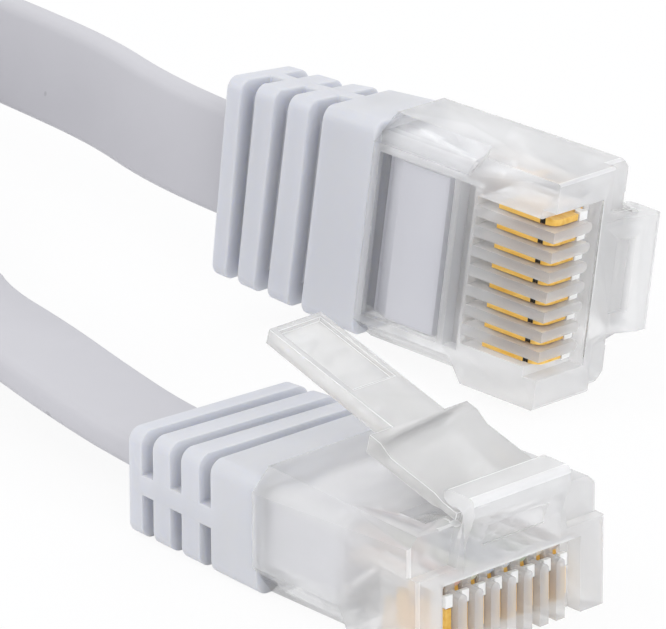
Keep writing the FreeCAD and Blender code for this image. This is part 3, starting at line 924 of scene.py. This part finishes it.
@dataclass
class Ribbon:
    """The flat cable: one length on one route, flat at plug A and on edge in the coil.

    The points of exit_b_mm are in plug B's own frame, those of the two leads in the row frame.
    """

    finish: bpy.types.Material
    stand_b: Stand
    width_mm: float = 5.6
    thickness_mm: float = 1.5
    corner_mm: float = 0.5
    length_mm: float = 1040.0
    centre_mm: tuple[float, float] = (-75.5, -15.0)
    outer_mm: float = 34.0
    pitch_mm: float = 2.1
    layers: int = 6
    height_mm: float = 3.1
    step_deg: float = 30.0
    joins_a_deg: float = 60.0
    joins_b_deg: float = 150.0
    join_step_deg: float = 35.0
    join_heights_mm: tuple[float, float] = (5.2, 3.5)
    exit_b_mm: tuple[Point, ...] = ((-19.3, 0.0, 2.3), (-21.7, 0.0, 2.3), (-26.7, -0.35, 2.3))
    lead_b_mm: tuple[Point, ...] = ((-49.5, 17.9, 8.4), (-57.0, 18.6, 8.2), (-65.0, 19.8, 7.6))
    lead_a_mm: tuple[Point, ...] = (
        (-19.3, 0.0, 2.3), (-24.5, 0.0, 2.35), (-30.0, 0.0, 3.15), (-36.0, 1.1, 3.4), (-42.0, 1.9, 3.5),
        (-48.6, 6.9, 3.3))
    on_edge_b_m: float = 0.0443
    on_edge_a_m: float = 0.0424
    flat_share: float = 0.48
    turn_share: float = 0.51
    tilt_deg: float = 3.5
    tilt_share: float = 0.15

    def coil_point(self, shift: float, radius: float, angle: float, height: float | None = None) -> Vector:
        """Return a point about a centre beside the coil's own, in millimetres."""
        a = math.radians(angle)
        z = self.height_mm if height is None else height
        x, y = self.centre_mm
        return Vector((x + shift + radius * math.cos(a), y + radius * math.sin(a), z))

    def half_turn(self, shift: float, radius: float, start: float, end: float) -> list[Vector]:
        """Corners round an arc, so that a smooth spline through their sides' middles keeps its radius.

        Args:
            shift: How far the arc's centre is from the coil's, along X.
            radius: The arc's radius.
            start: Where it starts, in degrees.
            end: Where it ends.

        Returns:
            The corners, in millimetres.
        """
        count = max(2, round(abs(end - start) / self.step_deg))
        step = (end - start) / count
        corner = radius / math.cos(math.radians(abs(step) / 2))
        return [self.coil_point(shift, corner, start + step * (k + 0.5)) for k in range(count)]

    def turns(self) -> list[Vector]:
        """The coil, from where lead B joins it, in through one arm, round the S and out by the other."""
        shift = self.pitch_mm / 2
        radii = [self.outer_mm - self.pitch_mm * layer for layer in range(self.layers)]
        points: list[Vector] = []
        for layer, radius in enumerate(radii):
            if layer % 2 == 0:
                start = self.joins_b_deg if layer == 0 else 0.0
                points += self.half_turn(shift, radius, start, 180.0)
            else:
                points += self.half_turn(-shift, radius, 180.0, 360.0)
        inner = (radii[-1] - shift) / 2
        points += self.half_turn(inner, inner, 0.0, 180.0)
        points += self.half_turn(-inner, inner, 360.0, 180.0)
        for layer in reversed(range(1, self.layers)):
            if layer % 2 == 1:
                end = self.joins_a_deg if layer == 1 else 0.0
                points += self.half_turn(shift, radii[layer], 180.0, end)
            else:
                points += self.half_turn(-shift, radii[layer], 360.0, 180.0)
        return points

    def route(self) -> list[Vector]:
        """The whole route from plug B's boot to plug A's, in millimetres."""
        corner = self.outer_mm / math.cos(math.radians(self.join_step_deg / 2))
        points = [self.stand_b.out(Vector(p)) for p in self.exit_b_mm]
        points += [Vector(p) for p in self.lead_b_mm]
        for steps, height in zip((1.5, 0.5), self.join_heights_mm):
            angle = self.joins_b_deg - steps * self.join_step_deg
            points.append(self.coil_point(self.pitch_mm / 2, corner, angle, height))
        points += self.turns()
        points += [Vector(p) for p in reversed(self.lead_a_mm)]
        return points

    def spline_points(self) -> list[Vector]:
        """Read the smooth line that the route gives, in metres."""
        curve = bpy.data.curves.new("route", "CURVE")
        curve.dimensions = "3D"
        curve.resolution_u = 8
        spline = curve.splines.new("NURBS")
        route = self.route()
        spline.points.add(len(route) - 1)
        for point, place in zip(spline.points, route):
            point.co = (*(place * MM), 1.0)
        spline.order_u = 3
        spline.use_endpoint_u = True
        carrier = bpy.data.objects.new("route", curve)
        bpy.context.scene.collection.objects.link(carrier)
        line = bpy.data.meshes.new_from_object(carrier)
        points = [vertex.co.copy() for vertex in line.vertices]
        bpy.data.objects.remove(carrier)
        return points

    def section(self) -> list[tuple[float, float]]:
        """The cable's section, across its width and through its thickness, in metres."""
        half, thin, r = self.width_mm / 2 * MM, self.thickness_mm / 2 * MM, self.corner_mm * MM
        points = []
        for sx, sy, first in ((1, 1, 0), (-1, 1, 90), (-1, -1, 180), (1, -1, 270)):
            for k in range(4):
                a = math.radians(first + 30 * k)
                points.append((sx * (half - r) + r * math.cos(a), sy * (thin - r) + r * math.sin(a)))
        return points

    def across(self, ahead: Vector, run: float, left: float) -> Vector:
        """Return the direction of the cable's width at one place.

        Args:
            ahead: The direction in which the cable runs.
            run: The length of cable from plug B to there, in metres.
            left: The length of cable from there to plug A, in metres.

        Returns:
            The direction, square to the run.
        """
        share = ease(run / self.on_edge_b_m)
        lean = self.stand_b.turn @ Vector((0, 1, 0))
        across = lean * (1 - share) + Vector((0, 0, -1)) * share
        flat = 1 - ease((left / self.on_edge_a_m - self.flat_share) / self.turn_share)
        if flat > 0:
            level = Vector((0, 0, 1)).cross(ahead).normalized()
            lift = -ahead.cross(level)
            tilt = math.radians(self.tilt_deg) * ease(left / self.on_edge_a_m / self.tilt_share)
            turn = tilt + (math.pi / 2 - tilt) * (1 - flat)
            across = level * math.cos(turn) + lift * math.sin(turn)
        return (across - ahead * across.dot(ahead)).normalized()

    def build(self) -> Piece:
        """Returns:
            The cable.
        """
        points = self.spline_points()
        run = [0.0]
        for a, b in zip(points, points[1:]):
            run.append(run[-1] + (b - a).length)
        log.info("the cable is %.4f m long on %d points", run[-1], len(points))
        work = bmesh.new()
        section = self.section()
        rings = []
        for k, centre in enumerate(points):
            ahead = (points[min(k + 1, len(points) - 1)] - points[max(k - 1, 0)]).normalized()
            across = self.across(ahead, run[k], run[-1] - run[k])
            through = ahead.cross(across)
            rings.append([work.verts.new(centre + across * a + through * b) for a, b in section])
        skin(work, rings)
        mesh = write_mesh(work, "flat_cable")
        mesh.shade_smooth()
        mesh.set_sharp_from_angle(angle=math.radians(50))
        piece = Piece("flat_cable", mesh, Body.LEAD)
        piece.dress(self.finish, "cable_jacket")
        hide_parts("cable_lead_a", "cable_lead_b", "cable_coil")
        return piece


@dataclass(frozen=True)
class Lamp:
    """A soft square lamp that faces the plugs."""

    name: str
    place_m: Point
    side_m: float
    watts: float
    colour: Colour
    aim_m: Point = (-0.015, 0.005, 0.0)

    def hang(self) -> None:
        """Hang the lamp."""
        data = bpy.data.lights.new(self.name, "AREA")
        data.shape = "SQUARE"
        data.size = self.side_m
        data.energy = self.watts
        data.color = self.colour
        lamp = bpy.data.objects.new(self.name, data)
        lamp.location = self.place_m
        towards = Vector(self.aim_m) - Vector(self.place_m)
        lamp.rotation_euler = towards.to_track_quat("-Z", "Y").to_euler()
        bpy.context.scene.collection.objects.link(lamp)


@dataclass
class Studio:
    """Floor, lamps, world and camera."""

    lamps: tuple[Lamp, ...] = (
        Lamp("key_lamp", (-0.35, -0.55, 0.75), 0.55, 1.85, (1.0, 0.99, 0.97)),
        Lamp("fill_lamp", (0.75, -0.2, 0.45), 0.6, 1.75, (0.96, 0.97, 1.0)),
        Lamp("back_lamp", (-0.1, 0.7, 0.6), 0.6, 1.2, (0.95, 0.97, 1.0)))
    camera_m: Point = (0.274392, -0.257167, 0.168125)
    right: Point = (0.6687, 0.7435, -0.0027)
    down: Point = (0.2773, -0.2527, -0.9270)
    lens_mm: float = 486.49
    sensor_mm: float = 36.0
    nearest_m: float = 0.01
    floor_m: float = 3.0
    floor_drop_m: float = 0.00002
    sky: float = 0.8
    sky_colour: Colour = (0.96, 0.97, 1.0)

    def build(self) -> None:
        """Set up the whole studio."""
        self.lay_floor()
        self.light_world()
        for lamp in self.lamps:
            lamp.hang()
        self.place_camera()
        bpy.context.scene.view_settings.view_transform = "Standard"

    def lay_floor(self) -> None:
        """Lay the pale floor."""
        work = bmesh.new()
        bmesh.ops.create_grid(work, x_segments=4, y_segments=4, size=self.floor_m / 2)
        mesh = bpy.data.meshes.new("floor")
        work.to_mesh(mesh)
        work.free()
        floor = bpy.data.objects.new("floor", mesh)
        floor.location.z = -self.floor_drop_m
        mesh.materials.append(PaleFloor().material())
        bpy.context.scene.collection.objects.link(floor)

    def light_world(self) -> None:
        """Make a world that is white where it is seen and mirrored, and a plain level of light elsewhere."""
        world = bpy.data.worlds.new("studio")
        bpy.context.scene.world = world
        world.use_nodes = True
        nodes = Nodes(world.node_tree)
        output = nodes.node("OutputWorld")
        white = nodes.node("Background", Color=(1.0, 1.0, 1.0, 1.0))
        lit = nodes.node("Background", Color=(*self.sky_colour, 1.0), Strength=self.sky)
        nodes.mix(nodes.seen(), lit, white, output)

    def place_camera(self) -> None:
        """Put the camera where the photograph was taken from."""
        data = bpy.data.cameras.new("camera")
        data.lens = self.lens_mm
        data.sensor_width = self.sensor_mm
        data.clip_start = self.nearest_m
        camera = bpy.data.objects.new("camera", data)
        right = Vector(self.right).normalized()
        down = Vector(self.down)
        down = (down - right * down.dot(right)).normalized()
        ahead = right.cross(down)
        turn = Matrix((right, -down, -ahead)).transposed()
        camera.matrix_world = Matrix.Translation(Vector(self.camera_m)) @ turn.to_4x4()
        bpy.context.scene.collection.objects.link(camera)
        bpy.context.scene.camera = camera


def main() -> None:
    """Build and dress every piece in order."""
    logging.basicConfig(level=logging.INFO, format="%(message)s")
    finishes = mix_finishes()
    jacket = SoftPvc("jacket_white", srgb(205, 204, 208), srgb(201, 200, 204), 0.5, specks=0.5).material()
    Plug("a", Body.LATCH_A, STAND_A, Slump(STAND_A, far_top_down=0.42), finishes).build()
    Plug("b", Body.LATCH_B, STAND_B, Slump(STAND_B, near_side_in=0.45, rear_forward=0.35), finishes).build()
    Ribbon(jacket, STAND_B).build()
    finish_node("coil_tie", StrapFinish().material())
    Studio().build()


if __name__ == "__main__":
    main()
